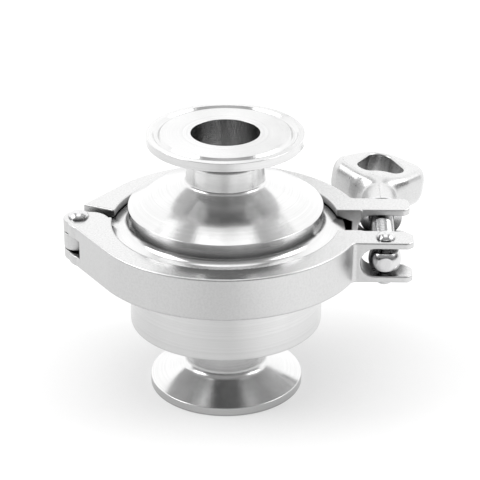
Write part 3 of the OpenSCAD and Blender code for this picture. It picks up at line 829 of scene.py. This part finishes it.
def make_spring():
    """Wire coil with a closed turn at each end, wound once at the length of its solid; it does not
    shorten with the plug.
    """
    low, high = (corner[2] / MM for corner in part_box("plug_spring"))
    steps, sides = 40, 16
    count = COIL_TURNS * steps
    free = high - low - 3 * WIRE_D
    vertices, outward = [], []
    for i in range(count + 1):
        turn = i / steps
        rise = WIRE_D * (0.5 + min(turn, 1) + max(0, turn - COIL_TURNS + 1))
        rise += free * min(max((turn - 1) / (COIL_TURNS - 2), 0), 1)
        c, s = math.cos(math.tau * turn), math.sin(math.tau * turn)
        for k in range(sides):
            out, up = math.cos(math.tau * k / sides), math.sin(math.tau * k / sides)
            r = (COIL_D + WIRE_D * out) / 2
            vertices.append((r * c, r * s, low + rise + WIRE_D / 2 * up))
            outward.append((out * c, out * s, up))
    faces = []
    for i in range(count):
        for k in range(sides):
            a, b = i * sides + k, i * sides + (k + 1) % sides
            faces.append((a, a + sides, b + sides, b))
    normals = [outward[v] for face in faces for v in face]
    last = count * sides
    faces += [tuple(range(sides)), tuple(last + k for k in reversed(range(sides)))]
    normals += [(0, -1, 0)] * sides + [(0, 1, 0)] * sides
    spring = new_object("wound_spring", vertices, faces, corner_normals=normals)
    dress(spring, "valve_body", "spring_steel", WIRE, "plug_spring")
    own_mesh(spring)


def dress_inner_nodes():
    """The other pieces inside keep their solids."""
    for node, material in (("body_gasket", RUBBER), ("seal_ring", RUBBER), ("nose_cap", TURNED),
                           ("plug_disc", TURNED), ("plug_stem", TURNED), ("stem_clip", WIRE),
                           ("guide_bush", BUSH), ("stem_guide", TURNED)):
        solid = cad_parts[node]
        solid.data.materials.clear()
        solid.data.materials.append(material)


# Studio

WHITE = (1, 1, 1, 1)

# Softboxes and gaps of the studio, each painted over the ones before it: the level, then the
# lowest, highest and soft angle of its azimuth (from the rear, or from the front when the name
# says so) and of its elevation
WALL_LEVEL = 0.95
CARDS = (
    ("ceiling", 0.7, -180, 180, 1, 50, 90, 5),
    ("rear_softbox", 1.64, -66, 66, 10, -6, 46, 5),
    ("rear_ceiling", 1.75, -29, 29, 6, 30, 91, 5),
    ("zenith_softbox", 2.0, -180, 180, 1, 74, 91, 4),
    ("front_softbox", 0.45, -50, 50, 15, 12, 52, 8),
    ("front_gap", 0.1, -90, 90, 20, -10, 15, 6),
    ("rear_seam", 0.7, -0.5, 0.7, 0.4, 20, 91, 2),
)

# What reflections see on the floor, painted light and shade: x from which it is fully brighter, in
# metres, and by how much; the middle is painted darker
FLOOR_SIDES = ((0.09, 0.45), (-0.09, 0.15))
FLOOR_MIDDLE = -0.07

# Name, place, size and power of each lamp
LAMPS = (
    ("left_softbox", (-0.85, -0.1, 0.78), 0.7, 6),
    ("right_softbox", (0.85, 0, 0.74), 0.6, 4),
)


def make_camera():
    """The photograph's camera, fitted to the port rims in its 480 by 480 frame."""
    focal_px, frame_px = 1859.06, 480
    eye = Vector((19.97, -544.5, 313.8)) * MM
    heading, down = math.radians(-1.614), math.radians(25.711)
    forward = Vector((math.sin(heading) * math.cos(down),
                      math.cos(heading) * math.cos(down), -math.sin(down)))
    data = bpy.data.cameras.new("camera")
    data.sensor_width = 36
    data.lens = focal_px * data.sensor_width / frame_px
    data.clip_start, data.clip_end = 0.01, 20
    camera = bpy.data.objects.new("camera", data)
    camera.location = eye
    camera.rotation_mode = "QUATERNION"
    camera.rotation_quaternion = forward.to_track_quat("-Z", "Y")
    bpy.context.scene.collection.objects.link(camera)
    bpy.context.scene.camera = camera


def floor_glow(tree, rays):
    """Glow that makes the floor plain white, except for a painted shadow where it dims near what
    stands on it; reflections also see painted light at its sides.
    """
    open_sky = add(tree, "AmbientOcclusion", {"Distance": 0.06}, "AO", samples=8)
    level = spread(tree, open_sky, 0.48, 0.94, 0.36, 0.55)
    across = separate(tree, add(tree, "TexCoord", output="Object"))["X"]
    for edge, gain in FLOOR_SIDES:
        side = spread(tree, across, edge * 0.2, edge, FLOOR_MIDDLE, gain)
        level = calculate(tree, "MULTIPLY_ADD", side, rays["Is Glossy Ray"], level)
    return add(tree, "Emission", {"Strength": level})


def make_floor():
    """A white floor that keeps the object's soft shadow, cast by the lamps and world, and adds a
    painted contact shadow in its glow.
    """
    mesh = bpy.data.meshes.new("floor")
    half = 3.0
    mesh.from_pydata([(-half, -half, 0), (half, -half, 0), (half, half, 0), (-half, half, 0)],
                     [], [(0, 1, 2, 3)])
    floor = bpy.data.objects.new("floor", mesh)
    bpy.context.scene.collection.objects.link(floor)
    material = bpy.data.materials.new("floor_white")
    material.use_nodes = True
    tree = material.node_tree
    tree.nodes.clear()
    rays = add(tree, "LightPath").node.outputs
    shown = reduce(lambda a, b: calculate(tree, "MAXIMUM", a, b),
                   (rays["Is Camera Ray"], rays["Is Glossy Ray"], rays["Is Transmission Ray"]))
    diffuse = add(tree, "BsdfDiffuse", {"Color": (0.55, 0.55, 0.55, 1)})
    glowing = add(tree, "AddShader", {0: diffuse, 1: floor_glow(tree, rays)})
    surface = add(tree, "MixShader", {"Fac": shown, 1: diffuse, 2: glowing})
    output = tree.nodes.new("ShaderNodeOutputMaterial")
    tree.links.new(surface, output.inputs["Surface"])
    floor.data.materials.append(material)


def studio_level(tree):
    """Brightness of the studio by direction, as reflections see it."""
    x, y, z = separate(tree, add(tree, "TexCoord", output="Generated"))
    towards_front = calculate(tree, "MULTIPLY", y, -1)
    from_rear, from_front, elevation = (calculate(tree, "DEGREES", angle) for angle in (
        calculate(tree, "ARCTAN2", x, y), calculate(tree, "ARCTAN2", x, towards_front),
        calculate(tree, "ARCSINE", z)))
    level = WALL_LEVEL
    for name, amount, left, right, side_soft, low, high, soft in CARDS:
        azimuth = from_front if name.startswith("front") else from_rear
        sides = [spread(tree, angle, edge, inner, 0, 1)
                 for angle, start, end, blur in ((azimuth, left, right, side_soft),
                                                 (elevation, low, high, soft))
                 for edge, inner in ((start - blur, start), (end + blur, end))]
        mask = reduce(lambda a, b: calculate(tree, "MULTIPLY", a, b), sides)
        level = add(tree, "Mix", {"Factor": mask, "A": level, "B": amount}, "Result")
    return add(tree, "CombineColor", {"Red": level, "Green": level, "Blue": level})


def make_world():
    """White to the camera, a softbox studio in reflections and a plain level for the rest."""
    world = bpy.data.worlds.new("studio")
    bpy.context.scene.world = world
    world.use_nodes = True
    world.cycles.sampling_method = "NONE"
    tree = world.node_tree
    tree.nodes.clear()
    rays = add(tree, "LightPath").node.outputs
    lit = add(tree, "Background", {"Color": (0.8, 0.8, 0.8, 1), "Strength": 0.85})
    for ray, colour in (("Is Camera Ray", WHITE), ("Is Glossy Ray", studio_level(tree)),
                        ("Is Transmission Ray", WHITE)):
        sky = add(tree, "Background", {"Color": colour, "Strength": 1})
        lit = add(tree, "MixShader", {"Fac": rays[ray], 1: lit, 2: sky})
    output = tree.nodes.new("ShaderNodeOutputWorld")
    tree.links.new(lit, output.inputs["Surface"])


def make_lamps():
    aim = Vector((0, 0, 0.05))
    for name, place, size, power in LAMPS:
        data = bpy.data.lights.new(name, "AREA")
        data.size = size
        data.energy = power
        lamp = bpy.data.objects.new(name, data)
        lamp.location = place
        lamp.rotation_mode = "QUATERNION"
        lamp.rotation_quaternion = (aim - Vector(place)).to_track_quat("-Z", "Y")
        bpy.context.scene.collection.objects.link(lamp)


make_camera()
make_valve_shell()
make_clamp()
make_rivets()
make_bolt()
make_washer()
make_nut()
make_spring()
dress_inner_nodes()
make_floor()
make_world()
make_lamps()
bpy.context.scene.view_settings.view_transform = "Standard"
